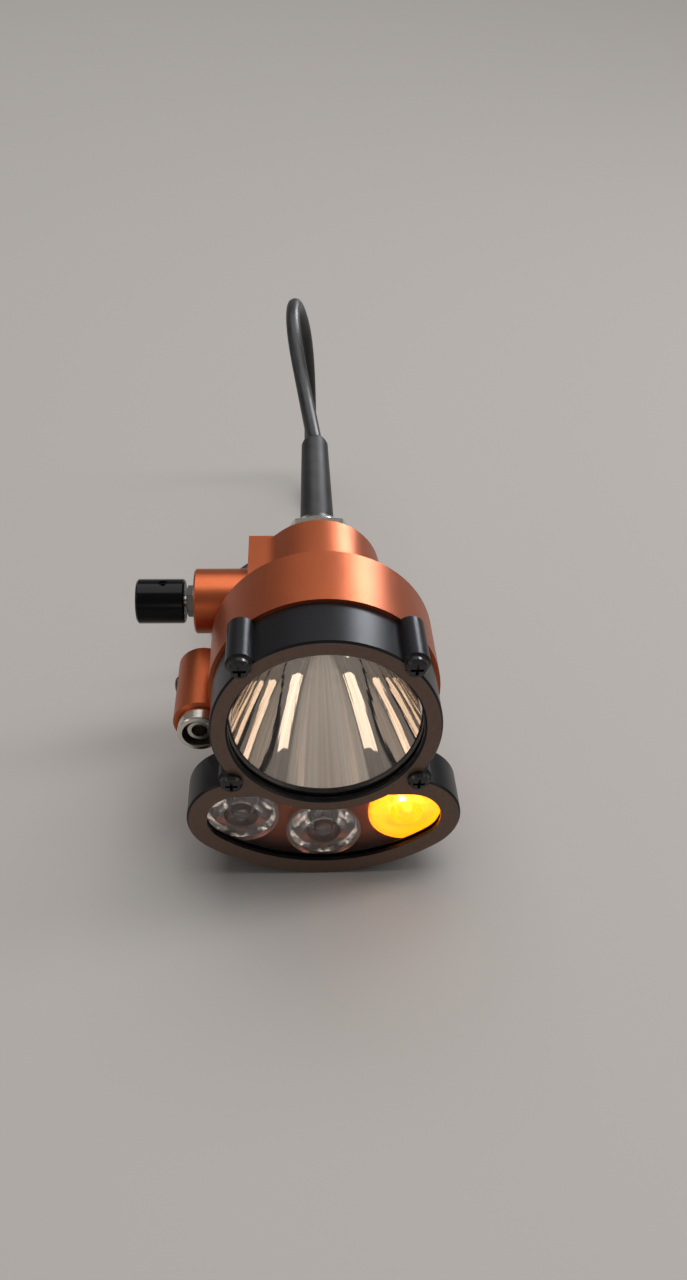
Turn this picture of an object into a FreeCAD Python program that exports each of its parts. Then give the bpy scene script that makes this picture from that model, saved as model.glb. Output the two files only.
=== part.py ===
"""Miner's cap lamp: deep main reflector, three auxiliary optics, side switch and charging socket.

Lamp frame while building: +X to the right of the beam's back, +Y from the front face to the
back, +Z up, Y = 0 on the bezel's face, Z = 0 on the main optical axis. Every piece is moved on
export so that the origin lies at the middle of the hook blade's lower end.
"""
import FreeCAD, Part
import math
import os

from FreeCAD import Vector

X, Y, Z = Vector(1, 0, 0), Vector(0, 1, 0), Vector(0, 0, 1)

# ---- Driving dimensions, in millimetres ----
GAP = 0.1                  # assembly clearance between fixed pieces
RUN_GAP = 0.05             # radial running clearance of the shaft

# Bezel and the black frame behind it
OPENING_R = 24.3
RING_R = 28.75
BEZEL_T = 3.5
FRAME_END = 15.0           # back of the frame round the main opening
LOBE_FRAME_END = 12.5      # back of the frame round the lower lobe
LUG_R = 3.45
UPPER_LUG = (20.6, 21.5)
LOWER_LUG = (23.8, -16.3)
EDGE = 0.5                 # broken edges

# Lower lobe outline: two end circles joined by one long arc below
TIP_X, TIP_Z, TIP_R = 22.1, -31.0, 14.0
LOBE_BOTTOM = -53.0
WINDOW_INSET = 5.2
WINDOW_TOP_R = 27.6        # top of the window runs round the main opening
SEAT = 1.3                 # ledge that holds each pane

# Housings
SHELL_R = 29.8
SHELL_END = 36.2
WALL = 2.6
SPIGOT = 5.5               # how far the shell reaches into the frame
LOBE_END = 24.0
BOSS_INSET, BOSS_TAPER = 2.2, 6.0   # copper boss behind the lobe: set in, then drafted
OPTIC_SEAT = 4.9           # copper face that the optics' flanges sit on
REAR_R = 18.0
REAR_END = 70.0
PAD_X, PAD_Z, PAD_FILLET = 20.3, 12.3, 5.0

# Panes and main optics
LENS_T, LENS_FACE = 2.6, 1.6
PANE_T, PANE_FACE = 2.0, 1.2
GASKET_T = 0.8
REFLECTOR_T = 1.1
BOWL_REACH = 6.3           # how far the bowl's bottom reaches into the rear housing
LED_HOLE_R = 4.0
BOARD_T = 1.6

# Auxiliary optics
OPTIC_R, OPTIC_DEPTH = 10.1, 10.5
SIDE_OPTIC = (TIP_X - 0.1, TIP_Z - 1.2)
CENTRE_OPTIC_Z = -38.9

# Switch on the left side
KNOB_Y, KNOB_Z = REAR_END - 15.0, 0.0
BOSS_R, BOSS_END = 9.2, 35.4
KNOB_R, KNOB_LENGTH, KNOB_GAP = 6.33, 13.5, 2.8
SHAFT_R = 1.75
BUSHING_R = 3.0

# Charging socket
JACK_X, JACK_Z = -32.9, -15.0
JACK_SHELL_R, JACK_FACE = 5.85, 16.0
JACK_SHELL_BORE = JACK_SHELL_R - 1.3
JACK_TUBE_R = JACK_SHELL_R + 1.35
JACK_TUBE_START, JACK_TUBE_END = 20.0, 44.0
JACK_SLEEVE_R, JACK_HOLE_R = 3.4, 2.15

# Screws: shank radius, head radius, head height
M3 = (1.5, 2.8, 2.1)
M25 = (1.25, 2.25, 1.5)

# Cable gland and boot on the rear wall
GLAND_Z = 3.5
GLAND_FLATS, GLAND_HEX_T = 24.0, 5.0
GLAND_STEM_R = 8.0
BOOT_BASE_R, BOOT_TIP_R, BOOT_LENGTH = 5.3, 4.3, 40.0
BOOT_TILT = 15.2           # degrees above level
BOOT_PIVOT_Y = REAR_END + 16.0

# Hook blade
BLADE_Y = REAR_END + 10.0
BLADE_T, BLADE_W = 3.0, 24.0
BLADE_SCREW = (7.0, -12.2)

# Cord
CORD_R = 2.5
COIL_X, COIL_Y, COIL_R = -2.0, 33.0, 25.0
COIL_COLUMNS, COIL_LAYERS = 2, 3
PLUG_R = 4.75

# The cord's route from the boot's tip to the coil, in the part's own frame
CORD_ROUTE = [
    (0.0, 44.6, 67.0), (-2.5, 69.5, 70.5), (-7.0, 90.0, 87.5), (-6.0, 117.0, 88.5),
    (-1.0, 135.5, 67.5), (1.0, 140.0, 38.0), (1.0, 132.0, 12.0), (1.5, 110.0, 2.5),
    (6.0, 88.0, 2.5), (14.5, 68.0, 2.5), (23.5, 51.0, 2.5), (25.5, 33.0, 2.5),
]
# The end of the cord, from the top of the coil to the plug's tail
TAIL_ROUTE = [
    (19.5, 40.8, 13.5), (20.9, 32.0, 14.9), (18.8, 23.3, 16.4), (13.5, 16.1, 17.9),
    (5.8, 11.5, 19.2), (-3.0, 10.1, 19.75),
]

TO_ORIGIN = Vector(0, -BLADE_Y, -LOBE_BOTTOM)


# Bezel details
SHALLOW = 0.8              # the window's seat reaches this far past its opening at the top
SPIGOT_WALL = 2.2          # ring of the shell that plugs into the frame
HOUSING_BORE_GAP = 0.3

# Switch parts along the side axis, outwards from the boss's end
SWITCH_BODY_R = 6.4
SWITCH_CAN_X, WAFER_X, WAFER_R = -17.5, -12.5, 5.2
SHAFT_START, SHAFT_IN_KNOB = -23.0, 10.5
THREAD_LENGTH = 2.4
WASHER_R, WASHER_T = 4.6, 0.5
NUT_FLATS, NUT_T = 7.8, 1.7
SET_SCREW_R, SET_SCREW_KEY = 1.25, 1.3
KNOB_START = BOSS_END + KNOB_GAP
KNOB_END = KNOB_START + KNOB_LENGTH
KNOB_SCREW_X = -KNOB_START - 6.0

# Charging socket details
JACK_LOCK_Y = 36.0
LOCK_SINK = 0.9            # the lock screw's head sits in a spot-face
JACK_CORE_START = JACK_FACE + 4.0
JACK_CORE_END = JACK_TUBE_END - 4.0
SLEEVE_START, SLEEVE_END = JACK_FACE + 1.4, JACK_TUBE_END - 8.2
WEB_REACH, WEB_HALF = 10.0, 3.0

# Gland details
COLLAR_R, COLLAR_REACH = 7.0, 4.0
GLAND_BORE_R = 5.6
LOCKNUT_FLATS, LOCKNUT_T = 18.4, 2.6
NUT_BASE_R, NUT_END_R = 9.6, 7.8
SEAL_HOLE_R = 3.0
BOOT_ROOT = 7.0            # length of the boot inside the gland

# Blade details
PAD_T, PAD_BOTTOM, PAD_TOP = 2.5, -20.0, -8.6
SHELF_TOP = -17.0
BLADE_CORNER, BLADE_BEND = 4.0, 2.4


# ---- Shape helpers ----
def rod(radius, start, direction, length):
    return Part.makeCylinder(radius, length, start, direction)


def rod_y(radius, x, z, y0, y1):
    return rod(radius, Vector(x, y0, z), Y, y1 - y0)


def rod_x(radius, y, z, x0, x1):
    return rod(radius, Vector(x0, y, z), X, x1 - x0)


def tube_y(outer, inner, x, z, y0, y1):
    return rod_y(outer, x, z, y0, y1).cut(rod_y(inner, x, z, y0 - 1, y1 + 1))


def block(x0, x1, y0, y1, z0, z1):
    return Part.makeBox(x1 - x0, y1 - y0, z1 - z0, Vector(x0, y0, z0))


def turned(points, origin, axis, about=None):
    """Revolve a profile of (along, radius) points about an axis through origin."""
    side = about or (X if abs(axis.dot(X)) < 0.5 else Z)
    rim = [origin + axis * a + side * r for a, r in points]
    wire = Part.makePolygon(rim + [rim[0]])
    return Part.Face(wire).revolve(origin, axis, 360)


def fused(shapes):
    result = shapes[0]
    for shape in shapes[1:]:
        result = result.fuse(shape)
    return result.removeSplitter()


def group(shapes):
    return Part.makeCompound(shapes)


def hex_prism(flats, origin, direction, length, chamfer=0.0):
    """Hexagon with a flat on top, its corners trimmed by a cone at the far end."""
    reach = flats / 2 / math.cos(math.radians(30))
    side = X if abs(direction.dot(X)) < 0.5 else Y
    up = direction.cross(side)
    corners = []
    for k in range(7):
        angle = math.radians(60 * k)
        corners.append(origin + side * (reach * math.cos(angle)) + up * (reach * math.sin(angle)))
    prism = Part.Face(Part.makePolygon(corners)).extrude(direction * length)
    if not chamfer:
        return prism
    profile = [(0, 0), (0, reach), (length - chamfer, reach), (length, reach - 2 * chamfer), (length, 0)]
    return prism.common(turned(profile, origin, direction))


def lobe_wire(inset, y0):
    """The lower lobe's outline at depth y0, moved inwards by inset."""
    drop = TIP_Z - LOBE_BOTTOM
    sweep_r = (TIP_X ** 2 + drop ** 2 - TIP_R ** 2) / (2 * (drop - TIP_R))
    sweep_z = LOBE_BOTTOM + sweep_r
    tip_r = TIP_R - inset
    slope = math.atan2(TIP_Z - sweep_z, TIP_X)

    def tip_point(angle, side):
        return Vector(side * (TIP_X + tip_r * math.cos(angle)), y0, TIP_Z + tip_r * math.sin(angle))

    top = [tip_point(math.pi / 2, s) for s in (1, -1)]
    low = [tip_point(slope, s) for s in (1, -1)]
    mid = [tip_point(slope / 2 + math.pi / 4, s) for s in (1, -1)]
    bottom = Vector(0, y0, LOBE_BOTTOM + inset)
    edges = [
        Part.Arc(top[0], mid[0], low[0]).toShape(),
        Part.Arc(low[0], bottom, low[1]).toShape(),
        Part.Arc(low[1], mid[1], top[1]).toShape(),
        Part.LineSegment(top[1], top[0]).toShape(),
    ]
    return Part.Wire(edges)


def lobe_prism(inset, y0, y1, broken=0.0):
    prism = Part.Face(lobe_wire(inset, y0)).extrude(Y * (y1 - y0))
    if broken:
        front = [e for e in prism.Edges if abs(e.BoundBox.YMin - y0) + abs(e.BoundBox.YMax - y0) < 1e-4]
        prism = prism.makeChamfer(broken, front)
    return prism


def lobe_taper(inset0, y0, inset1, y1):
    return Part.makeLoft([lobe_wire(inset0, y0), lobe_wire(inset1, y1)], True, True)


def below_ring(inset, ring_r, y0, y1):
    """The lobe's outline with the main opening's ring taken out of it."""
    return lobe_prism(inset, y0, y1).cut(rod_y(ring_r, 0, 0, y0 - 1, y1 + 1))


def broken_rod(radius, x, z, y0, y1, front=0.0, back=0.0):
    profile = [
        (0, 0), (0, radius - front), (front, radius), (y1 - y0 - back, radius),
        (y1 - y0, radius - back), (y1 - y0, 0),
    ]
    clean = [p for i, p in enumerate(profile) if p not in profile[:i]]
    return turned(clean, Vector(x, y0, z), Y)


def lug_centres():
    return [(s * x, z) for x, z in (UPPER_LUG, LOWER_LUG) for s in (-1, 1)]


def pan_screw(size, seat, direction, length, cross=True):
    """Pan head screw whose head stands on seat and whose shank runs along direction."""
    shank_r, head_r, head_h = size
    profile = [(length, 0), (length, shank_r), (0, shank_r), (0, head_r), (-0.55 * head_h, head_r),
               (-0.85 * head_h, 0.8 * head_r), (-head_h, 0.45 * head_r), (-head_h, 0)]
    screw = turned(profile, seat, direction)
    if not cross:
        return screw
    side = X if abs(direction.dot(X)) < 0.5 else Y
    up = direction.cross(side)
    arm, half, deep = 0.56 * head_r, 0.13 * head_r, 0.6 * head_h
    for a, b in ((side, up), (up, side)):
        corner = seat - direction * (head_h + 0.1) - a * arm - b * half
        long, wide = a * (2 * arm), b * (2 * half)
        outline = [corner, corner + long, corner + long + wide, corner + wide, corner]
        face = Part.Face(Part.makePolygon(outline))
        screw = screw.cut(face.extrude(direction * (deep + 0.1)))
    return screw


# ---- Bezel, frame and panes ----
def bezel():
    solids = [broken_rod(RING_R, 0, 0, 0, BEZEL_T, front=EDGE)]
    solids += [lobe_prism(0, 0, BEZEL_T, broken=EDGE)]
    solids += [broken_rod(LUG_R, x, z, 0, BEZEL_T, front=EDGE) for x, z in lug_centres()]
    body = fused(solids)
    opening = [(-0.1, 0), (-0.1, OPENING_R + EDGE + 0.1), (EDGE, OPENING_R), (LENS_FACE, OPENING_R),
               (LENS_FACE, OPENING_R + SEAT), (BEZEL_T + 1, OPENING_R + SEAT), (BEZEL_T + 1, 0)]
    body = body.cut(turned(opening, Vector(0, 0, 0), Y))
    body = body.cut(below_ring(WINDOW_INSET, WINDOW_TOP_R, -1, BEZEL_T + 1))
    body = body.cut(below_ring(WINDOW_INSET - SEAT, WINDOW_TOP_R - SHALLOW, PANE_FACE, BEZEL_T + 1))
    for x, z in lug_centres():
        body = body.cut(rod_y(M3[0] + GAP, x, z, -1, BEZEL_T + 1))
    return body


def bezel_frame():
    lobe = lobe_prism(0, BEZEL_T, LOBE_FRAME_END).cut(lobe_prism(WALL, BEZEL_T - 1, LOBE_FRAME_END + 1))
    solids = [rod_y(RING_R, 0, 0, BEZEL_T, FRAME_END), lobe]
    solids += [broken_rod(LUG_R, x, z, BEZEL_T, FRAME_END, back=EDGE) for x, z in lug_centres()]
    body = fused(solids)
    spigot_start = FRAME_END - SPIGOT
    body = body.cut(rod_y(OPENING_R + SEAT, 0, 0, BEZEL_T - 1, FRAME_END + 1))
    body = body.cut(rod_y(OPENING_R + SPIGOT_WALL + GAP, 0, 0, spigot_start, FRAME_END + 1))
    for x, z in lug_centres():
        body = body.cut(rod_y(M3[0] + GAP, x, z, BEZEL_T - 1, FRAME_END - 2))
    return body


def bezel_screws():
    return group([pan_screw(M3, Vector(x, 0, z), Y, FRAME_END - 3) for x, z in lug_centres()])


def main_lens():
    return broken_rod(OPENING_R + SEAT - GAP, 0, 0, LENS_FACE, LENS_FACE + LENS_T, front=0.2, back=0.2)


def main_lens_seal():
    y0 = LENS_FACE + LENS_T
    return tube_y(OPENING_R + SEAT - GAP, OPENING_R + 0.1, 0, 0, y0, y0 + GASKET_T)


def aux_window():
    pane = below_ring(WINDOW_INSET - SEAT + GAP, WINDOW_TOP_R - SHALLOW + GAP, PANE_FACE, PANE_FACE + PANE_T)
    return pane


def aux_window_seal():
    y0 = PANE_FACE + PANE_T
    y1 = BEZEL_T
    outer = below_ring(WINDOW_INSET - SEAT + GAP, WINDOW_TOP_R - SHALLOW + GAP, y0, y1)
    inner = below_ring(WINDOW_INSET - 0.2, WINDOW_TOP_R + 0.3, y0 - 1, y1 + 1)
    return outer.cut(inner)


# ---- Main reflector and its light source ----
REFLECTOR_FACE = LENS_FACE + LENS_T + GASKET_T
REFLECTOR_RIM = OPENING_R - 0.7
REFLECTOR_VERTEX = SHELL_END + BOWL_REACH
FOCUS = REFLECTOR_RIM ** 2 / (4 * (REFLECTOR_VERTEX - REFLECTOR_FACE))


def bowl_profile(offset):
    """Points (y, radius) down the parabola, moved outwards by offset."""
    steps = 28
    points = []
    for k in range(steps + 1):
        radius = REFLECTOR_RIM + (LED_HOLE_R - REFLECTOR_RIM) * k / steps
        depth = REFLECTOR_VERTEX - radius ** 2 / (4 * FOCUS)
        slope = math.atan2(2 * FOCUS, radius)
        points.append((depth + offset * math.cos(slope), radius + offset * math.sin(slope)))
    return points


def spline_turned(inner, outer):
    """Revolve the space between two smooth profiles about the main axis."""
    curves = []
    for profile in (inner, outer):
        spline = Part.BSplineCurve()
        spline.interpolate([Vector(r, y, 0) for y, r in profile])
        curves.append(spline.toShape())
    ends = []
    for k in (0, -1):
        a, b = (Vector(p[k][1], p[k][0], 0) for p in (inner, outer))
        ends.append(Part.LineSegment(a, b).toShape())
    wire = Part.Wire(Part.__sortEdges__(curves + ends))
    return Part.Face(wire).revolve(Vector(0, 0, 0), Y, 360)


def reflector():
    bowl = spline_turned(bowl_profile(0), bowl_profile(REFLECTOR_T))
    rim_y = REFLECTOR_FACE
    rim = tube_y(OPENING_R + SEAT - GAP, REFLECTOR_RIM, 0, 0, rim_y, rim_y + REFLECTOR_T)
    return fused([bowl, rim])


LED_Y = REFLECTOR_VERTEX - 1.5        # the main LED looks out of the hole in the bowl
LED_BASE_T, LED_BOARD_T = 0.7, 1.0
PEDESTAL_R = LED_HOLE_R - 0.5
HEAT_DISC_Y, HEAT_DISC_T = REFLECTOR_VERTEX + 3.5, 2.0
WIRE_R, WIRE_Z = 1.3, -13.6


def led_pedestal():
    """Post for the main LED on a disc that fills the rear housing's bore."""
    post = rod_y(PEDESTAL_R, 0, 0, LED_Y + LED_BASE_T + LED_BOARD_T, HEAT_DISC_Y)
    disc = rod_y(REAR_R - WALL, 0, 0, HEAT_DISC_Y, HEAT_DISC_Y + HEAT_DISC_T)
    return fused([post, disc]).cut(rod_y(WIRE_R, 0, WIRE_Z, HEAT_DISC_Y - 1, HEAT_DISC_Y + HEAT_DISC_T + 1))


def main_led_board():
    face = LED_Y + LED_BASE_T
    return rod_y(PEDESTAL_R, 0, 0, face, face + LED_BOARD_T)


def main_led():
    dome = Part.makeSphere(1.5, Vector(0, LED_Y, 0))
    base = block(-1.7, 1.7, LED_Y, LED_Y + LED_BASE_T, -1.7, 1.7)
    ahead = rod_y(3, 0, 0, LED_Y - 3, LED_Y + 0.1)
    return fused([base, dome.common(ahead)])


# ---- Auxiliary optics ----
OPTIC_FACE = BEZEL_T + GAP
OPTIC_BACK = OPTIC_FACE + OPTIC_DEPTH
OPTIC_FLANGE_T = OPTIC_SEAT - OPTIC_FACE - GAP
OPTIC_BODY_R = OPTIC_R - 0.9
OPTIC_WAIST = 7.5
HOLDER_R = 6.4
AUX_BOARD_Y = OPTIC_BACK + 1.2
AUX_INSET = 8.0
HEAT_PLATE_T = 2.5


def optic(x, z):
    """Moulded collimator: flange, curved cone, a well in front and a pocket over its LED."""
    flange = OPTIC_FLANGE_T
    profile = [(0, 0), (0, 2.0), (2.6, 3.4), (2.6, 3.9), (0, 4.6), (0, OPTIC_R), (flange, OPTIC_R),
               (flange, OPTIC_BODY_R), (4.5, 8.4), (OPTIC_WAIST, 6.4), (OPTIC_DEPTH, 4.2), (OPTIC_DEPTH, 2.6),
               (OPTIC_DEPTH - 4.2, 2.2), (OPTIC_DEPTH - 4.8, 0)]
    return turned(profile, Vector(x, OPTIC_FACE, z), Y)


def optic_centres():
    return [(-SIDE_OPTIC[0], SIDE_OPTIC[1]), (0, CENTRE_OPTIC_Z), (SIDE_OPTIC[0], SIDE_OPTIC[1])]


def optic_holders():
    cups = []
    for x, z in optic_centres():
        cup = tube_y(HOLDER_R, HOLDER_R - 0.8, x, z, OPTIC_BACK - 1.6, AUX_BOARD_Y)
        floor = tube_y(HOLDER_R, 3.2, x, z, OPTIC_BACK + GAP, OPTIC_BACK + 0.7)
        cups.append(fused([cup, floor]))
    return group(cups)


def aux_board():
    return below_ring(AUX_INSET, SHELL_R + GAP, AUX_BOARD_Y, AUX_BOARD_Y + BOARD_T)


def aux_leds():
    leds = []
    for x, z in optic_centres():
        base = block(x - 1.7, x + 1.7, AUX_BOARD_Y - 0.7, AUX_BOARD_Y, z - 1.7, z + 1.7)
        dome = Part.makeSphere(1.4, Vector(x, AUX_BOARD_Y - 0.7, z))
        leds.append(fused([base, dome.common(rod_y(2, x, z, AUX_BOARD_Y - 3, AUX_BOARD_Y - 0.5))]))
    return group(leds)


def aux_heat_plate():
    y0 = AUX_BOARD_Y + BOARD_T
    return below_ring(AUX_INSET, SHELL_R + GAP, y0, y0 + HEAT_PLATE_T)


# ---- Housings ----
COLLAR_T, COLLAR_LENGTH = 1.4, 5.0     # collar of the front housing bonded in the rear one
SEAL_R, SEAL_W, SEAL_T = REAR_R - WALL / 2 - 0.1, 0.5, 0.8


def front_housing():
    shell = broken_rod(SHELL_R, 0, 0, FRAME_END, SHELL_END, back=EDGE)
    spigot = rod_y(OPENING_R + SPIGOT_WALL, 0, 0, FRAME_END - SPIGOT + GAP, FRAME_END)
    lobe = fused([lobe_prism(WALL + GAP, OPTIC_SEAT, LOBE_FRAME_END),
                  lobe_taper(BOSS_INSET, LOBE_FRAME_END, BOSS_INSET + BOSS_TAPER, LOBE_END)])
    lobe = lobe.cut(rod_y(RING_R + GAP, 0, 0, OPTIC_SEAT - 1, FRAME_END))
    for x, z in lug_centres():
        lobe = lobe.cut(rod_y(LUG_R + GAP, x, z, OPTIC_SEAT - 1, FRAME_END + GAP))
    tube = broken_rod(JACK_TUBE_R, JACK_X, JACK_Z, JACK_TUBE_START, JACK_TUBE_END, front=EDGE, back=EDGE)
    web = block(JACK_X, JACK_X + WEB_REACH, JACK_TUBE_START + 1, SHELL_END - 1,
                JACK_Z - WEB_HALF, JACK_Z + WEB_HALF)
    collar = rod_y(REAR_R - WALL - GAP / 2, 0, 0, SHELL_END - 1, SHELL_END + COLLAR_LENGTH)
    body = fused([shell, spigot, lobe, tube, web, collar])
    body = body.cut(rod_y(REAR_R - WALL - COLLAR_T, 0, 0, SHELL_END - WALL - 1, SHELL_END + COLLAR_LENGTH + 1))
    body = body.cut(rod_y(OPENING_R + HOUSING_BORE_GAP, 0, 0, FRAME_END - SPIGOT - 1, SHELL_END - WALL))
    for x, z in optic_centres():
        waist = OPTIC_FACE + OPTIC_WAIST
        body = body.cut(rod_y(OPTIC_BODY_R + 2 * GAP, x, z, OPTIC_SEAT - 1, waist))
        body = body.cut(rod_y(HOLDER_R + GAP, x, z, waist - 1, AUX_BOARD_Y + GAP))
    room = lobe_prism(AUX_INSET - GAP, AUX_BOARD_Y, AUX_BOARD_Y + BOARD_T + HEAT_PLATE_T + GAP)
    body = body.cut(room.cut(rod_y(SHELL_R, 0, 0, FRAME_END, LOBE_END + 1)))
    body = body.cut(rod_y(JACK_SHELL_R + GAP, JACK_X, JACK_Z, JACK_FACE - 1, JACK_TUBE_END - 2))
    body = body.cut(rod(WIRE_R, Vector(0, AUX_BOARD_Y + BOARD_T, -OPENING_R + 1), -Z, 9))
    body = body.cut(rod_y(WIRE_R, 0, WIRE_Z, SHELL_END - WALL - 1, SHELL_END + COLLAR_LENGTH + 1))
    body = body.cut(rod_x(M25[0] + GAP, JACK_LOCK_Y, JACK_Z, JACK_X - 8, JACK_X - 4))
    spot_x = JACK_X - JACK_TUBE_R + LOCK_SINK
    return body.cut(rod_x(M25[1] + 2 * GAP, JACK_LOCK_Y, JACK_Z, spot_x - 3, spot_x))


def rear_housing():
    barrel = broken_rod(REAR_R, 0, 0, SHELL_END, REAR_END, back=EDGE)
    pad = block(-PAD_X, -4, SHELL_END, REAR_END, -PAD_Z, PAD_Z)
    body = barrel.fuse(pad).removeSplitter()
    meet_x = -math.sqrt(REAR_R ** 2 - PAD_Z ** 2)
    seams = []
    for edge in body.Edges:
        box = edge.BoundBox
        long_seam = box.YLength > 20 and box.XLength < 0.01
        if long_seam and abs(box.XMin - meet_x) < 0.05 and abs(abs(box.ZMin) - PAD_Z) < 0.05:
            seams.append(edge)
    body = body.makeFillet(PAD_FILLET, seams)
    boss_profile = [(0, 0), (0, BOSS_R - EDGE), (EDGE, BOSS_R), (BOSS_END - 12, BOSS_R), (BOSS_END - 12, 0)]
    body = body.fuse(turned(boss_profile, Vector(-BOSS_END, KNOB_Y, KNOB_Z), X)).removeSplitter()
    inner_r = REAR_R - WALL
    body = body.cut(rod_y(inner_r, 0, 0, SHELL_END - 1, REAR_END - WALL))
    body = body.cut(rod_x(SWITCH_BODY_R + GAP, KNOB_Y, KNOB_Z, -BOSS_END + WALL, 0))
    body = body.cut(rod_x(BUSHING_R + GAP, KNOB_Y, KNOB_Z, -BOSS_END - 1, 0))
    body = body.cut(rod_y(GLAND_STEM_R + GAP, 0, GLAND_Z, REAR_END - WALL - 1, REAR_END + 1))
    screw_x, screw_z = BLADE_SCREW
    for side in (-1, 1):
        body = body.cut(rod_y(M25[0] + GAP, side * screw_x, screw_z, REAR_END - WALL - 1, REAR_END + 1))
    return body.cut(tube_y(SEAL_R + SEAL_W, SEAL_R - SEAL_W, 0, 0, SHELL_END - 1, SHELL_END + SEAL_T))


def housing_seal():
    return tube_y(SEAL_R + SEAL_W, SEAL_R - SEAL_W, 0, 0, SHELL_END, SHELL_END + SEAL_T)


# ---- Switch ----
def switch_body():
    can = rod_x(SWITCH_BODY_R, KNOB_Y, KNOB_Z, -BOSS_END + WALL, SWITCH_CAN_X)
    wafer = rod_x(WAFER_R, KNOB_Y, KNOB_Z, SWITCH_CAN_X, WAFER_X)
    pocket = rod_x(SHAFT_R + RUN_GAP, KNOB_Y, KNOB_Z, -BOSS_END, SHAFT_START + 1)
    return fused([can, wafer]).cut(pocket)


def switch_bushing():
    outer = rod_x(BUSHING_R, KNOB_Y, KNOB_Z, -BOSS_END - THREAD_LENGTH, -BOSS_END + WALL)
    return outer.cut(rod_x(SHAFT_R + RUN_GAP, KNOB_Y, KNOB_Z, -BOSS_END - 3, -BOSS_END + WALL + 1))


def switch_washer():
    disc = rod_x(WASHER_R, KNOB_Y, KNOB_Z, -BOSS_END - WASHER_T, -BOSS_END)
    return disc.cut(rod_x(BUSHING_R + GAP, KNOB_Y, KNOB_Z, -BOSS_END - 1, -BOSS_END + 1))


def switch_nut():
    nut = hex_prism(NUT_FLATS, Vector(-BOSS_END - WASHER_T, KNOB_Y, KNOB_Z), -X, NUT_T, chamfer=0.3)
    return nut.cut(rod_x(BUSHING_R + GAP / 2, KNOB_Y, KNOB_Z, -BOSS_END - 3, -BOSS_END))


def switch_shaft():
    return rod_x(SHAFT_R, KNOB_Y, KNOB_Z, -KNOB_START - SHAFT_IN_KNOB, SHAFT_START)


def knob():
    profile = [(0, 0), (0, KNOB_R - EDGE), (EDGE, KNOB_R), (KNOB_LENGTH - EDGE, KNOB_R),
               (KNOB_LENGTH, KNOB_R - EDGE), (KNOB_LENGTH, 0)]
    body = turned(profile, Vector(-KNOB_END, KNOB_Y, KNOB_Z), X)
    bore_end = -KNOB_START - SHAFT_IN_KNOB - 0.5
    body = body.cut(rod_x(SHAFT_R + GAP / 5, KNOB_Y, KNOB_Z, bore_end, -KNOB_START + 1))
    return body.cut(rod(SET_SCREW_R + GAP / 5, Vector(KNOB_SCREW_X, KNOB_Y, KNOB_Z), Z, KNOB_R + 1))


def knob_set_screw():
    start = Vector(KNOB_SCREW_X, KNOB_Y, KNOB_Z + SHAFT_R + GAP / 5)
    screw = rod(SET_SCREW_R, start, Z, KNOB_R - SHAFT_R - 0.7)
    socket = hex_prism(SET_SCREW_KEY, start + Z * (KNOB_R - SHAFT_R - 2.2), Z, 2.0)
    return screw.cut(socket)


# ---- Charging socket ----
def jack_shell():
    shell = broken_rod(JACK_SHELL_R, JACK_X, JACK_Z, JACK_FACE, JACK_TUBE_END - 3, front=0.3)
    shell = shell.cut(rod_y(JACK_SHELL_BORE, JACK_X, JACK_Z, JACK_FACE - 1, JACK_TUBE_END - 1))
    return shell.cut(rod_x(M25[0] + GAP, JACK_LOCK_Y, JACK_Z, JACK_X - 8, JACK_X - 4))


def jack_insulator():
    core = rod_y(JACK_SHELL_BORE - GAP / 2, JACK_X, JACK_Z, JACK_CORE_START, JACK_CORE_END)
    return core.cut(rod_y(JACK_SLEEVE_R + GAP / 2, JACK_X, JACK_Z, JACK_CORE_START - 1, SLEEVE_END + 2 * GAP))


def jack_sleeve():
    sleeve = broken_rod(JACK_SLEEVE_R, JACK_X, JACK_Z, SLEEVE_START, SLEEVE_END, front=0.3)
    return sleeve.cut(rod_y(JACK_HOLE_R, JACK_X, JACK_Z, JACK_FACE, JACK_TUBE_END - 11))


def jack_lock_screw():
    seat = Vector(JACK_X - JACK_TUBE_R + LOCK_SINK, JACK_LOCK_Y, JACK_Z)
    return pan_screw(M25, seat, X, 1.6)


# ---- Electronics ----
SPACER_T, SPACER_R, SPACER_CIRCLE = 1.6, 2.2, 11.0
BOARD_Y = HEAT_DISC_Y + HEAT_DISC_T + SPACER_T
BOARD_BACK = BOARD_Y + BOARD_T
SWITCH_NOTCH_X = -11.5


def driver_board():
    board = rod_y(REAR_R - WALL - 0.4, 0, 0, BOARD_Y, BOARD_BACK)
    board = board.cut(block(-REAR_R, SWITCH_NOTCH_X, BOARD_Y - 1, BOARD_BACK + 1, -REAR_R, REAR_R))
    return board.cut(rod_y(WIRE_R, 0, WIRE_Z, BOARD_Y - 1, BOARD_BACK + 1))


def board_spacers():
    spacers = []
    for angle in (0, 120, 240):
        x = SPACER_CIRCLE * math.cos(math.radians(angle))
        z = SPACER_CIRCLE * math.sin(math.radians(angle))
        spacers.append(tube_y(SPACER_R, SPACER_R - 0.8, x, z, BOARD_Y - SPACER_T, BOARD_Y))
    return group(spacers)


def driver_coil():
    return tube_y(4.4, 1.8, 8.0, 6.0, BOARD_BACK, BOARD_BACK + 4.2)


def driver_capacitors():
    return group([rod_y(2.0, -5.6 + 4.6 * k, -7.0, BOARD_BACK, BOARD_BACK + 5.0) for k in range(3)])


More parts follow.
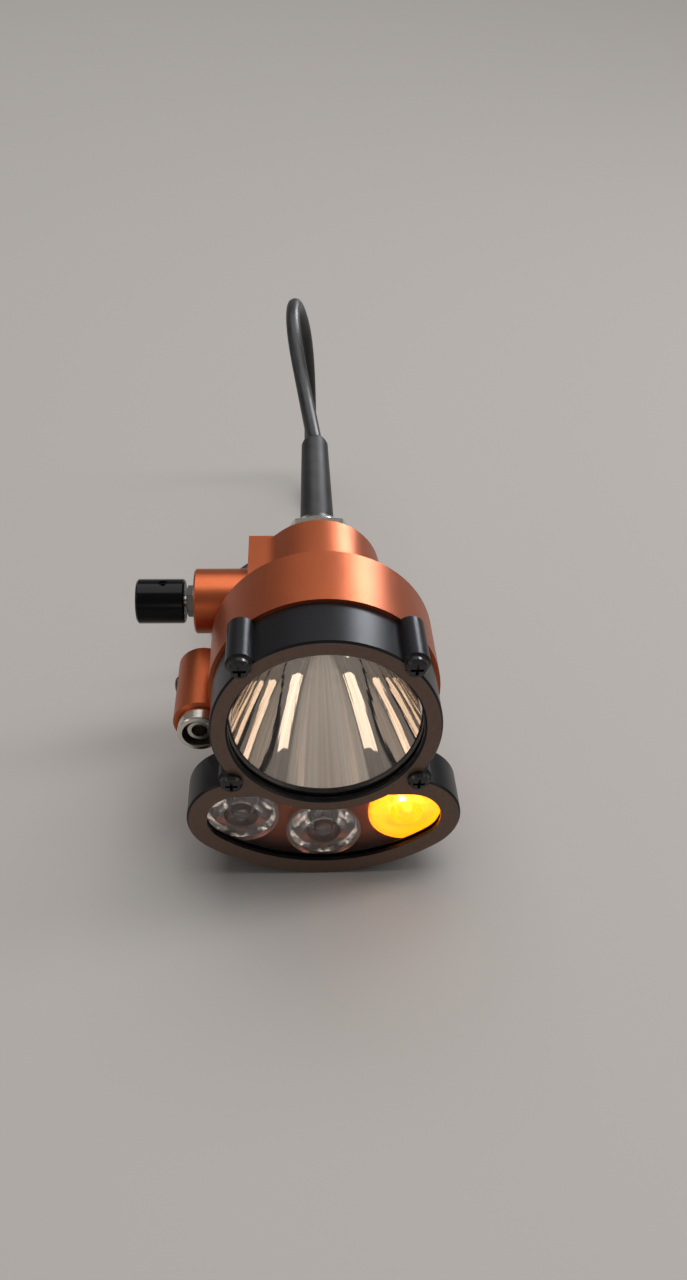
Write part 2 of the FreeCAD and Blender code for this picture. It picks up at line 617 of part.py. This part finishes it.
# ---- Cable gland and boot ----
def gland_body():
    hexagon = hex_prism(GLAND_FLATS, Vector(0, REAR_END, GLAND_Z), Y, GLAND_HEX_T, chamfer=0.8)
    stem = rod_y(GLAND_STEM_R, 0, GLAND_Z, REAR_END - WALL - 3.4, REAR_END)
    collar = rod_y(COLLAR_R, 0, GLAND_Z, REAR_END + GLAND_HEX_T, REAR_END + GLAND_HEX_T + COLLAR_REACH)
    body = fused([hexagon, stem, collar])
    return body.cut(rod_y(GLAND_BORE_R, 0, GLAND_Z, REAR_END - WALL - 5, REAR_END + GLAND_HEX_T + 5))


def gland_locknut():
    nut = hex_prism(LOCKNUT_FLATS, Vector(0, REAR_END - WALL, GLAND_Z), -Y, LOCKNUT_T, chamfer=0.4)
    return nut.cut(rod_y(GLAND_STEM_R + GAP / 2, 0, GLAND_Z, REAR_END - WALL - 4, REAR_END - WALL + 1))


def gland_nut():
    y0 = REAR_END + GLAND_HEX_T
    length = BOOT_PIVOT_Y - y0
    bore, mouth = COLLAR_R + GAP, BOOT_BASE_R + GAP
    profile = [(0, bore), (0, NUT_BASE_R), (5.0, NUT_BASE_R), (length - 1.6, NUT_END_R),
               (length, NUT_END_R - 1.6), (length, mouth), (length - 3, mouth), (length - 6, bore)]
    return turned(profile, Vector(0, y0, GLAND_Z), Y)


def gland_seal():
    y0 = REAR_END + 1
    return tube_y(GLAND_BORE_R - GAP, SEAL_HOLE_R, 0, GLAND_Z, y0, BOOT_PIVOT_Y - BOOT_ROOT - 0.5)


def boot_direction():
    tilt = math.radians(BOOT_TILT)
    return Vector(0, math.cos(tilt), math.sin(tilt))


def strain_relief():
    pivot = Vector(0, BOOT_PIVOT_Y, GLAND_Z)
    stub = rod_y(BOOT_BASE_R, 0, GLAND_Z, BOOT_PIVOT_Y - BOOT_ROOT, BOOT_PIVOT_Y)
    knee = Part.makeSphere(BOOT_BASE_R, pivot)
    length = BOOT_LENGTH
    profile = [(0, 0), (0, BOOT_BASE_R), (length - 2.2, BOOT_TIP_R), (length - 0.8, BOOT_TIP_R - 0.5),
               (length, BOOT_TIP_R - 1.3), (length, 0)]
    sleeve = turned(profile, pivot, boot_direction())
    return fused([stub, knee, sleeve])


# ---- Hook blade ----
def mount_blade():
    back = BLADE_Y + BLADE_T / 2
    half = BLADE_W / 2
    pad = block(-half, half, REAR_END, REAR_END + PAD_T, PAD_BOTTOM, PAD_TOP)
    shelf = block(-half, half, REAR_END, back, PAD_BOTTOM, SHELF_TOP)
    blade = block(-half, half, BLADE_Y - BLADE_T / 2, back, LOBE_BOTTOM, SHELF_TOP)
    low = [e for e in blade.Edges if e.BoundBox.YLength > 2 and e.BoundBox.ZMax < LOBE_BOTTOM + 0.1]
    blade = blade.makeFillet(BLADE_CORNER, [e for e in low if e.BoundBox.XLength < 0.01])
    body = fused([pad, shelf, blade])
    bends = [e for e in body.Edges if e.BoundBox.XLength > BLADE_W - 0.1 and e.BoundBox.YMin > back - 0.01
             and abs(e.BoundBox.ZMin - SHELF_TOP) < 0.01]
    body = body.makeFillet(BLADE_BEND, bends)
    for side in (-1, 1):
        body = body.cut(rod_y(M25[0] + GAP, side * BLADE_SCREW[0], BLADE_SCREW[1], REAR_END - 1, REAR_END + 4))
    return body


def mount_screws():
    x, z = BLADE_SCREW
    return group([pan_screw(M25, Vector(s * x, REAR_END + PAD_T, z), -Y, PAD_T + 3) for s in (-1, 1)])


# ---- Cord ----
def routed_tube(points, radius, label):
    """A tube along straight runs joined by tangent arcs, each as large as its runs allow."""
    pts = [Vector(*p) for p in points]
    edges = []
    start = pts[0]
    length = 0.0
    for k in range(1, len(pts) - 1):
        back, ahead = pts[k] - pts[k - 1], pts[k + 1] - pts[k]
        run = min(back.Length, ahead.Length)
        turn = back.getAngle(ahead)
        bend = 0.45 * run / math.tan(turn / 2)
        reach = bend * math.tan(turn / 2)
        a = pts[k] - back.normalize() * reach
        b = pts[k] + ahead.normalize() * reach
        to_centre = (back * -1 + ahead).normalize()
        centre = pts[k] + to_centre * (bend / math.cos(turn / 2))
        middle = centre - to_centre * bend
        edges.append(Part.LineSegment(start, a).toShape())
        edges.append(Part.Arc(a, middle, b).toShape())
        length += (a - start).Length + bend * turn
        start = b
        print(f"{label}: bend {k} radius {bend:.1f} mm, {bend / (2 * radius):.1f} diameters")
    edges.append(Part.LineSegment(start, pts[-1]).toShape())
    length += (pts[-1] - start).Length
    path = Part.Wire(edges)
    heading = (pts[1] - pts[0]).normalize()
    ring = Part.Wire(Part.makeCircle(radius, pts[0], heading))
    tube = path.makePipeShell([ring], True, False)
    ideal = math.pi * radius ** 2 * length
    print(f"{label}: length {length:.1f} mm, volume over section times length {tube.Volume / ideal:.4f}")
    return tube


def cord_run():
    return routed_tube(CORD_ROUTE, CORD_R, "cord_run")


def cord_tail():
    return routed_tube(TAIL_ROUTE, CORD_R, "cord_tail")


def cord_coil():
    height = 2 * CORD_R * COIL_LAYERS
    half = CORD_R * COIL_COLUMNS
    start = Vector(COIL_X, COIL_Y, 0)
    outer = rod(COIL_R + half, start, Z, height)
    return outer.cut(rod(COIL_R - half, start - Z, Z, height + 2))


def plug_axis():
    end, before = Vector(*TAIL_ROUTE[-1]), Vector(*TAIL_ROUTE[-2])
    heading = Vector(end.x - before.x, end.y - before.y, 0).normalize()
    return end, heading


def plug_body():
    end, heading = plug_axis()
    profile = [(0, 0), (0, 3.1), (7.0, 3.8), (8.0, PLUG_R), (21.5, PLUG_R), (22.5, PLUG_R - 0.9), (22.5, 0)]
    return turned(profile, end, heading, about=Z)


def plug_barrel():
    end, heading = plug_axis()
    profile = [(22.5, 1.2), (22.5, 2.75), (31.5, 2.75), (32.0, 2.4), (32.0, 1.2)]
    return turned(profile, end, heading, about=Z)


LAMP_PIECES = {
    "bezel": bezel, "bezel_frame": bezel_frame, "bezel_screws": bezel_screws,
    "main_lens": main_lens, "main_lens_seal": main_lens_seal,
    "aux_window": aux_window, "aux_window_seal": aux_window_seal,
    "reflector": reflector, "led_pedestal": led_pedestal,
    "main_led_board": main_led_board, "main_led": main_led,
    "optic_holders": optic_holders, "aux_board": aux_board, "aux_leds": aux_leds,
    "aux_heat_plate": aux_heat_plate,
    "front_housing": front_housing, "rear_housing": rear_housing,
    "housing_seal": housing_seal,
    "switch_body": switch_body, "switch_bushing": switch_bushing,
    "switch_washer": switch_washer, "switch_nut": switch_nut, "switch_shaft": switch_shaft,
    "knob": knob, "knob_set_screw": knob_set_screw,
    "jack_shell": jack_shell, "jack_insulator": jack_insulator, "jack_sleeve": jack_sleeve,
    "jack_lock_screw": jack_lock_screw,
    "driver_board": driver_board, "board_spacers": board_spacers,
    "driver_coil": driver_coil, "driver_capacitors": driver_capacitors,
    "gland_body": gland_body, "gland_locknut": gland_locknut, "gland_nut": gland_nut,
    "gland_seal": gland_seal, "strain_relief": strain_relief,
    "mount_blade": mount_blade, "mount_screws": mount_screws,
}
CORD_PIECES = {
    "cord_run": cord_run, "cord_coil": cord_coil, "cord_tail": cord_tail,
    "plug_body": plug_body, "plug_barrel": plug_barrel,
}


def main():
    os.makedirs("parts", exist_ok=True)
    shapes = {name: make() for name, make in LAMP_PIECES.items()}
    for name, (x, z) in zip(("optic_left", "optic_centre", "optic_right"), optic_centres()):
        shapes[name] = optic(x, z)
    for shape in shapes.values():
        shape.translate(TO_ORIGIN)
    shapes.update({name: make() for name, make in CORD_PIECES.items()})
    for name, shape in shapes.items():
        if not shape.isValid():
            print("not valid:", name)
        shape.exportStep(f"parts/{name}.step")
    print(len(shapes), "nodes")


main()
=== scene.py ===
"""Miner's cap lamp: materials, cord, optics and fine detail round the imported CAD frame."""
import math

import bmesh
import bpy
from mathutils import Matrix, Vector


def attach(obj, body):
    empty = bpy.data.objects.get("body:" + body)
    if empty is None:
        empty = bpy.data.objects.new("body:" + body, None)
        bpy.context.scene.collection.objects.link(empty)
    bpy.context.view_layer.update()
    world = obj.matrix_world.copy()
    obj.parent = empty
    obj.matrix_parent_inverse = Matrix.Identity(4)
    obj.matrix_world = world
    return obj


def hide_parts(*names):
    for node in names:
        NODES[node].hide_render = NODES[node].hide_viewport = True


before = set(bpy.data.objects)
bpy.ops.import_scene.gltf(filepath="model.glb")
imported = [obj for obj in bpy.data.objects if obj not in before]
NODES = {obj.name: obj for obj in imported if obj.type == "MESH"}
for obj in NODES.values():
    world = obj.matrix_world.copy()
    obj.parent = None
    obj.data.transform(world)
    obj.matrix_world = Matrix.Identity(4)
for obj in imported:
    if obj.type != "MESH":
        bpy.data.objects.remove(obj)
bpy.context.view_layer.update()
MM = 0.001

# ---- Facts shared with the CAD model, in metres ----
AXIS_Z = 0.053                 # main optical axis above the floor
FACE_Y = -0.080                # front face of the bezel
RIGHT_OPTIC = (0.0212, FACE_Y + 0.004, 0.0262)     # middle of the lit side optic
CORD_D = 0.005
COIL_CENTRE = (-0.002, 0.033)
COIL_OUTER_R, COIL_INNER_R = 0.0275, 0.0225
COIL_TURNS = 5.95
COIL_TOP_Z = 0.0135            # where the coil ends and the tail starts
# Control points from the strain relief's tip, over the loop and down to the coil
CORD_ROUTE = [
    (0.0, 0.0446, 0.067), (-0.0025, 0.0695, 0.0705), (-0.007, 0.090, 0.0875), (-0.006, 0.117, 0.0885),
    (-0.001, 0.1355, 0.0675), (0.001, 0.140, 0.038), (0.001, 0.132, 0.012), (0.0015, 0.110, 0.0025),
    (0.006, 0.088, 0.0025), (0.0145, 0.068, 0.0025), (0.0235, 0.051, 0.0025),
]
# Control points from the coil's top to the plug
TAIL_ROUTE = [
    (0.0209, 0.032, 0.0149), (0.0188, 0.0233, 0.0164), (0.0135, 0.0161, 0.0179),
    (0.0058, 0.0115, 0.0192), (-0.003, 0.0101, 0.01975),
]

# ---- Lights: name, place, target, (width, height), watts, colour ----
ROOM_LIGHTS = (
    ("sky", (0, 1.2, 3.2), (0, 0.9, 0), (3.6, 3.6), 90, (1, 0.98, 0.96)),
    ("overhead", (0.6, 0.1, 0.9), (0, -0.02, 0.03), (0.2, 1.3), 4.5, (1, 0.97, 0.97)),
)
HIGHLIGHT_PANELS = (
    ("left_fill", (-0.9, 0.1, 0.5), (0, -0.02, 0.04), (0.3, 0.9), 1.6, (0.85, 0.92, 1)),
    ("back_right", (0.5, 0.92, 0.58), (0, -0.05, 0.06), (0.18, 0.6), 6.5, (0.92, 0.95, 1)),
)
# Panels one metre from the face: name, degrees to the right, degrees up, (width, height)
FRONT_PANELS = (
    ("front_left", -42, 16, (0.6, 0.42)),
    ("front_centre", 0, 15, (0.3, 0.3)),
    ("front_right", 42, 16, (0.6, 0.42)),
)
FRONT_PANEL_FLUX = 4.6         # watts per square metre of panel
FRONT_PANEL_COLOUR = (1, 0.84, 0.7)


# ---- Camera, floor and light ----
def unit_direction(azimuth, elevation):
    """Unit vector towards the front, turned to the right and up by angles in degrees."""
    a, e = math.radians(azimuth), math.radians(elevation)
    return Vector((math.sin(a) * math.cos(e), -math.cos(a) * math.cos(e), math.sin(e)))


def add_camera():
    """Looks down at the lamp from in front, a little to its left."""
    distance = 0.2396
    roll = math.radians(2.1)
    aim = Vector((0.0033, FACE_Y, AXIS_Z + 0.0291))
    back = unit_direction(azimuth=-3.98, elevation=38.32)
    right = (-back).cross(Vector((0, 0, 1))).normalized()
    up = right.cross(-back)
    tilted_right = right * math.cos(roll) + up * math.sin(roll)
    tilted_up = up * math.cos(roll) - right * math.sin(roll)
    data = bpy.data.cameras.new("camera")
    data.sensor_fit = "VERTICAL"
    data.sensor_height = 36.0
    data.lens = 29.53
    data.clip_start = 0.01
    data.clip_end = 50
    camera = bpy.data.objects.new("camera", data)
    bpy.context.scene.collection.objects.link(camera)
    turn = Matrix((tilted_right, tilted_up, back)).transposed().to_4x4()
    camera.matrix_world = Matrix.Translation(aim + back * distance) @ turn
    bpy.context.scene.camera = camera


def area_light(name, place, target, size, power, colour):
    data = bpy.data.lights.new(name, "AREA")
    data.shape = "RECTANGLE"
    data.size, data.size_y = size
    data.energy = power
    data.color = colour
    light = bpy.data.objects.new(name, data)
    light.location = place
    light.rotation_euler = (Vector(target) - Vector(place)).to_track_quat("-Z", "Y").to_euler()
    bpy.context.scene.collection.objects.link(light)
    return light


def add_floor():
    mesh = bpy.data.meshes.new("floor")
    half = 6.0
    corners = [(-half, -half, 0), (half, -half, 0), (half, half, 0), (-half, half, 0)]
    mesh.from_pydata(corners, [], [(0, 1, 2, 3)])
    floor = bpy.data.objects.new("floor", mesh)
    bpy.context.scene.collection.objects.link(floor)
    material = bpy.data.materials.new("floor_paper")
    material.use_nodes = True
    shader = material.node_tree.nodes["Principled BSDF"]
    shader.inputs["Base Color"].default_value = (0.43, 0.415, 0.4, 1)
    shader.inputs["Roughness"].default_value = 0.75
    mesh.materials.append(material)
    return floor


def add_lights(floor):
    """Room light on everything, and panels that draw highlights on the lamp but spare the floor."""
    world = bpy.data.worlds.new("world")
    world.use_nodes = True
    background = world.node_tree.nodes["Background"]
    background.inputs["Color"].default_value = (0.58, 0.55, 0.53, 1)
    background.inputs["Strength"].default_value = 0.34
    scene = bpy.context.scene
    scene.world = world
    scene.view_settings.view_transform = "Standard"     # keeps the copper and amber saturated
    scene.cycles.glossy_bounces = 10                    # the bowl mirrors itself many times
    for light in ROOM_LIGHTS:
        area_light(*light)
    panels = [area_light(*light) for light in HIGHLIGHT_PANELS]
    face = Vector((0, FACE_Y, AXIS_Z))
    for name, azimuth, elevation, size in FRONT_PANELS:
        power = FRONT_PANEL_FLUX * size[0] * size[1]
        place = face + unit_direction(azimuth, elevation)
        panels.append(area_light(name, place, face, size, power, FRONT_PANEL_COLOUR))
    spared = bpy.data.collections.new("spared_by_panels")
    spared.objects.link(floor)
    spared.collection_objects[0].light_linking.link_state = "EXCLUDE"
    for panel in panels:
        panel.light_linking.receiver_collection = spared


# ---- Material building ----
class Surface:
    """A Principled material with helpers for procedural colour, roughness and bump.

    Noise scales are cells per metre; bump distances are in metres.
    """

    def __init__(self, name, colour, rough, metal=0.0, **sockets):
        self.material = bpy.data.materials.new(name)
        self.material.use_nodes = True
        self.tree = self.material.node_tree
        self.shader = self.tree.nodes["Principled BSDF"]
        self.set("Base Color", (*colour, 1))
        self.set("Roughness", rough)
        self.set("Metallic", metal)
        for key, value in sockets.items():
            self.set(key.replace("_", " "), value)
        self.coords = self.tree.nodes.new("ShaderNodeTexCoord")

    def set(self, socket, value):
        self.shader.inputs[socket].default_value = value

    def node(self, kind, **values):
        """Adds a node; each value is an attribute of it or, failing that, an input socket."""
        item = self.tree.nodes.new(kind)
        for key, value in values.items():
            if hasattr(item, key):
                setattr(item, key, value)
            else:
                item.inputs[key.replace("_", " ")].default_value = value
        return item

    def link(self, a, b):
        self.tree.links.new(a, b)

    def noise(self, scale, detail, around=False):
        """Noise over the piece, or only by direction round the main optical axis."""
        vector = self.coords.outputs["Object"]
        if around:
            vector = self.direction_round_axis()
        noise = self.node("ShaderNodeTexNoise", Scale=scale, Detail=detail)
        self.link(vector, noise.inputs["Vector"])
        return noise.outputs["Fac"]

    def direction_round_axis(self):
        """Unit vector from the main optical axis to the point, square to that axis."""
        flat = self.node("ShaderNodeVectorMath", operation="MULTIPLY_ADD")
        flat.inputs[1].default_value = (1, 0, 1)
        flat.inputs[2].default_value = (0, 0, -AXIS_Z)
        self.link(self.coords.outputs["Object"], flat.inputs[0])
        unit = self.node("ShaderNodeVectorMath", operation="NORMALIZE")
        self.link(flat.outputs[0], unit.inputs[0])
        return unit.outputs[0]

    def facing(self, direction, low, high):
        """0 where the surface looks away from direction, 1 where it looks along it."""
        geometry = self.node("ShaderNodeNewGeometry")
        dot = self.node("ShaderNodeVectorMath", operation="DOT_PRODUCT")
        dot.inputs[1].default_value = direction
        self.link(geometry.outputs["True Normal"], dot.inputs[0])
        spread = self.node("ShaderNodeMapRange", From_Min=low, From_Max=high)
        self.link(dot.outputs["Value"], spread.inputs["Value"])
        return spread.outputs["Result"]

    def mix(self, factor, a, b):
        mix = self.node("ShaderNodeMix", data_type="RGBA")
        self.link(factor, mix.inputs["Factor"])
        self.link(a, mix.inputs[6])
        self.link(b, mix.inputs[7])
        return mix.outputs[2]

    def ramp(self, value, stops):
        """Colour read from stops, each a (place, colour) pair."""
        ramp = self.node("ShaderNodeValToRGB")
        elements = ramp.color_ramp.elements
        while len(elements) < len(stops):
            elements.new(0.5)
        for element, (place, colour) in zip(elements, stops):
            element.position = place
            element.color = (*colour, 1)
        self.link(value, ramp.inputs["Fac"])
        return ramp.outputs["Color"]

    def vary_colour(self, value, low, high):
        self.link(self.ramp(value, [(0.35, low), (0.65, high)]), self.shader.inputs["Base Color"])

    def vary_rough(self, value, low, high):
        spread = self.node("ShaderNodeMapRange", To_Min=low, To_Max=high)
        self.link(value, spread.inputs["Value"])
        self.link(spread.outputs["Result"], self.shader.inputs["Roughness"])

    def bump(self, value, strength, distance):
        bump = self.node("ShaderNodeBump", Strength=strength, Distance=distance)
        self.link(value, bump.inputs["Height"])
        self.link(bump.outputs["Normal"], self.shader.inputs["Normal"])


def anodised(name, low, high, rough, grain, metal=0.75, front=None):
    """Bead-blasted and anodised aluminium; front holds the two tones of faces that look ahead, a painted
    reflection of the warm floor in front, lighter and warmer than the rest.
    """
    s = Surface(name, high, rough, metal=metal, Specular_IOR_Level=0.28)
    colour = s.ramp(s.noise(4200, 2), [(0.3, low), (0.7, high)])
    if front:
        # Painted reflection: faces that look ahead get a lighter, warmer brown-grey that stands in for the
        # warm floor they face.
        ahead = s.facing((0, -1, 0), 0.9, 0.98)
        front_reflection_colour = s.ramp(s.noise(700, 3), [(0.3, front[0]), (0.7, front[1])])
        colour = s.mix(ahead, colour, front_reflection_colour)
    s.link(colour, s.shader.inputs["Base Color"])
    s.vary_rough(s.noise(120, 4), rough - 0.03, rough + 0.04)
    s.bump(s.noise(7000, 2), grain, 0.00003)
    return s.material


def rubber(name, colour=(0.011, 0.0115, 0.013), rough=0.42):
    s = Surface(name, colour, rough, Specular_IOR_Level=0.36)
    s.vary_colour(s.noise(240, 5), tuple(0.7 * c for c in colour), tuple(1.5 * c for c in colour))
    s.vary_rough(s.noise(90, 4), rough - 0.08, rough + 0.1)
    s.bump(s.noise(2600, 3), 0.12, 0.00005)
    return s.material


def plated(name, colour, rough):
    s = Surface(name, colour, rough, metal=1.0)
    s.vary_rough(s.noise(700, 4), rough, rough + 0.08)
    s.bump(s.noise(1800, 2), 0.04, 0.00002)
    return s.material


def mirror(name):
    """Vacuum coat on a turned bowl: faint streaks run down it, and it hazes slightly."""
    s = Surface(name, (0.9, 0.87, 0.82), 0.03, metal=1.0)
    streaks = s.noise(14, 4, around=True)
    s.vary_rough(streaks, 0.01, 0.05)
    s.vary_colour(streaks, (0.8, 0.74, 0.68), (0.93, 0.89, 0.84))
    s.bump(s.noise(9, 2, around=True), 0.05, 0.0005)
    return s.material


def worn_steel(name, colour, rough):
    """Steel bare, under oxide, or made darker, duller in patches."""
    s = Surface(name, colour, rough, metal=0.9)
    s.vary_rough(s.noise(900, 4), rough - 0.06, rough + 0.1)
    s.bump(s.noise(2200, 2), 0.08, 0.00003)
    return s.material


def clear(name, ior):
    """Clean window glass; a low index keeps its reflections as faint as a coated window's."""
    s = Surface(name, (1, 1, 1), 0.0, Transmission_Weight=1.0, IOR=ior)
    s.vary_rough(s.noise(60, 3), 0.0, 0.015)
    return s.material


def hazy(name, colour):
    """Moulded clear plastic with a soft bloom over it."""
    s = Surface(name, colour, 0.09, Transmission_Weight=0.9, IOR=1.47)
    s.vary_rough(s.noise(130, 3), 0.03, 0.14)
    s.bump(s.noise(260, 2), 0.08, 0.0003)
    return s.material


def glowing(name, colour, centre, reach):
    """Clear plastic lit from within: white-yellow over the LED's image, amber towards the rim."""
    s = Surface(name, colour, 0.05, Transmission_Weight=0.5, IOR=1.49)
    s.vary_rough(s.noise(60, 3), 0.02, 0.1)
    offset = s.node("ShaderNodeVectorMath", operation="SUBTRACT")
    offset.inputs[1].default_value = centre
    s.link(s.coords.outputs["Object"], offset.inputs[0])
    length = s.node("ShaderNodeVectorMath", operation="LENGTH")
    s.link(offset.outputs[0], length.inputs[0])
    scatter = s.node("ShaderNodeMath", operation="MULTIPLY_ADD")
    s.link(s.noise(420, 4), scatter.inputs[0])
    scatter.inputs[1].default_value = 0.9 * reach
    s.link(length.outputs["Value"], scatter.inputs[2])
    spread = s.node("ShaderNodeMapRange", From_Min=0.45 * reach, From_Max=1.45 * reach)
    s.link(scatter.outputs[0], spread.inputs["Value"])
    glow = s.ramp(spread.outputs["Result"], [
        (0.0, (4.0, 3.0, 1.2)), (0.16, (1.5, 0.9, 0.06)), (0.5, (1.05, 0.5, 0.004)), (1.0, (0.95, 0.3, 0.0)),
    ])
    s.link(glow, s.shader.inputs["Emission Color"])
    s.set("Emission Strength", 1.0)
    return s.material


def plastic(name, colour, rough=0.4):
    s = Surface(name, colour, rough)
    s.vary_colour(s.noise(300, 3), tuple(0.85 * c for c in colour), colour)
    s.bump(s.noise(3000, 2), 0.06, 0.00003)
    return s.material


# ---- CAD pieces that keep their meshes ----
def paint(names, material):
    for name in names:
        mesh = NODES[name].data
        mesh.materials.clear()
        mesh.materials.append(material)


def dress_cad():
    copper = anodised("copper_anodised", (0.35, 0.082, 0.03), (0.44, 0.112, 0.043), 0.37, 0.3, metal=0.9)
    # The black's front tones are a painted reflection: a warm brown-grey on faces that look ahead, in place
    # of the reflected floor.
    black = anodised("black_anodised", (0.008, 0.0085, 0.0105), (0.013, 0.0135, 0.016), 0.34, 0.2, metal=0.55,
                     front=((0.118, 0.08, 0.062), (0.138, 0.095, 0.074)))
    gloss_black = anodised("knob_black", (0.006, 0.006, 0.007), (0.01, 0.01, 0.011), 0.16, 0.05)
    nickel = plated("nickel", (0.66, 0.63, 0.58), 0.16)
    oxide = worn_steel("black_oxide", (0.05, 0.05, 0.052), 0.24)
    steel = worn_steel("bright_steel", (0.5, 0.5, 0.51), 0.28)
    dark_switch_steel = worn_steel("darkened_switch_steel", (0.12, 0.12, 0.125), 0.3)
    soft_black = rubber("rubber")
    paint(["front_housing", "rear_housing"], copper)
    paint(["bezel", "bezel_frame"], black)
    paint(["knob"], gloss_black)
    paint(["bezel_screws", "knob_set_screw", "jack_lock_screw"], oxide)
    paint(["jack_shell", "jack_sleeve", "gland_body", "gland_nut", "gland_locknut", "plug_barrel"], nickel)
    # The switch bushing, nut and washer are made dark, like the gap between the knob and the boss.
    paint(["switch_bushing", "switch_nut", "switch_washer"], dark_switch_steel)
    paint(["mount_screws", "switch_shaft", "board_spacers"], steel)
    paint(["strain_relief", "main_lens_seal", "aux_window_seal", "housing_seal", "gland_seal", "plug_body"],
          soft_black)
    paint(["mount_blade"], anodised("blade_coat", (0.012, 0.012, 0.013), (0.02, 0.02, 0.021), 0.45, 0.5))
    paint(["main_lens", "aux_window"], clear("clear_glass", ior=1.3))
    paint(["optic_left", "optic_centre"], hazy("clear_acrylic", (0.95, 0.91, 0.9)))
    paint(["optic_right"], glowing("amber_acrylic", (1, 0.55, 0.06), RIGHT_OPTIC, reach=0.0105))
    paint(["led_pedestal", "aux_heat_plate"], plated("machined", (0.6, 0.6, 0.6), 0.3))
    paint(["main_led_board", "aux_board", "driver_board"], plastic("solder_mask", (0.02, 0.12, 0.05)))
    paint(["main_led", "aux_leds"], plastic("phosphor", (0.8, 0.6, 0.1), 0.2))
    paint(["switch_body", "jack_insulator", "optic_holders", "driver_coil", "driver_capacitors"],
          plastic("black_moulding", (0.02, 0.02, 0.02)))


# ---- Pieces rebuilt as fine meshes ----
def turned_mesh(name, profile, centre, material):
    """Revolves a closed profile of (depth, radius) points about the line that runs back from centre."""
    segments = 192
    x, y, z = centre
    bm = bmesh.new()
    rings = []
    for depth, radius in profile:
        ring = []
        for k in range(segments):
            angle = 2 * math.pi * k / segments
            place = (x + radius * math.cos(angle), y + depth, z + radius * math.sin(angle))
            ring.append(bm.verts.new(place))
        rings.append(ring)
    for a, b in zip(rings, rings[1:] + rings[:1]):
        for k in range(segments):
            n = (k + 1) % segments
            bm.faces.new((a[k], a[n], b[n], b[k])).smooth = True
    bmesh.ops.recalc_face_normals(bm, faces=bm.faces)
    mesh = bpy.data.meshes.new(name)
    bm.to_mesh(mesh)
    bm.free()
    mesh.set_sharp_from_angle(angle=math.radians(25))
    mesh.materials.append(material)
    piece = bpy.data.objects.new(name, mesh)
    bpy.context.scene.collection.objects.link(piece)
    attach(piece, "lamp")
    return piece


def add_reflector(material):
    """Deep parabolic bowl with a flat rim and the LED's hole at its bottom."""
    vertex, face = 42.5 * MM, 5.0 * MM      # depths behind the bezel's face
    rim_r, hole_r, flange_r = 23.6 * MM, 4.0 * MM, 25.5 * MM
    thick, edge = 1.1 * MM, 0.0001
    focus = rim_r ** 2 / (4 * (vertex - face))
    steps = 72
    inner, outer = [], []
    for k in range(steps + 1):
        radius = rim_r + (hole_r - rim_r) * k / steps
        slope = math.atan2(2 * focus, radius)
        depth = vertex - radius ** 2 / (4 * focus)
        inner.append((depth, radius))
        outer.append((depth + thick * math.cos(slope), radius + thick * math.sin(slope)))
    behind_flange = [(d, r) for d, r in reversed(outer) if d > face + thick and r < flange_r - 0.0005]
    flange = [(face + thick, flange_r), (face + edge, flange_r), (face, flange_r - edge)]
    profile = inner + behind_flange + flange
    bowl = turned_mesh("reflector_bowl", profile, (0, FACE_Y, AXIS_Z), material)
    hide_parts("reflector")


# ---- Cord ----
def clamp(value):
    return min(max(value, 0.0), 1.0)


def coil_points():
    """Three layers of two turns each: the first winds inwards, the next outwards, the last inwards."""
    cx, cy = COIL_CENTRE
    per_turn = 16
    step_in = 0.5                   # turns into a layer where the cord starts to move across
    climb_start, climb = 1.6, 0.4   # turns into a layer where it starts to climb, and how long that takes
    points = []
    for k in range(int(per_turn * COIL_TURNS) + 1):
        turned = k / per_turn
        angle = math.radians(-360 * turned)
        layer, part = divmod(turned, 2)
        across = clamp(part - step_in)
        if int(layer) % 2:
            across = 1 - across
        radius = COIL_OUTER_R + (COIL_INNER_R - COIL_OUTER_R) * across
        z = CORD_D / 2 + CORD_D * (layer + clamp((part - climb_start) / climb))
        points.append((cx + radius * math.cos(angle), cy + radius * math.sin(angle), min(z, COIL_TOP_Z)))
    return points


def add_cord(material):
    """One smooth tube from the strain relief, round the coil, to the plug that lies on it."""
    route = CORD_ROUTE + coil_points() + TAIL_ROUTE
    curve = bpy.data.curves.new("cord", "CURVE")
    curve.dimensions = "3D"
    spline = curve.splines.new("NURBS")
    spline.points.add(len(route) - 1)
    for point, place in zip(spline.points, route):
        point.co = (*place, 1)
    spline.order_u = 3
    spline.use_endpoint_u = True
    spline.resolution_u = 6
    curve.bevel_depth = CORD_D / 2
    curve.bevel_resolution = 8
    curve.use_fill_caps = True
    cord = bpy.data.objects.new("cord", curve)
    bpy.context.scene.collection.objects.link(cord)
    curve.materials.append(material)
    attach(cord, "lamp")
    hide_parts("cord_run", "cord_coil", "cord_tail")


add_camera()
add_lights(add_floor())
dress_cad()
add_reflector(mirror("mirror_coat"))
add_cord(rubber("cord_rubber", rough=0.38))
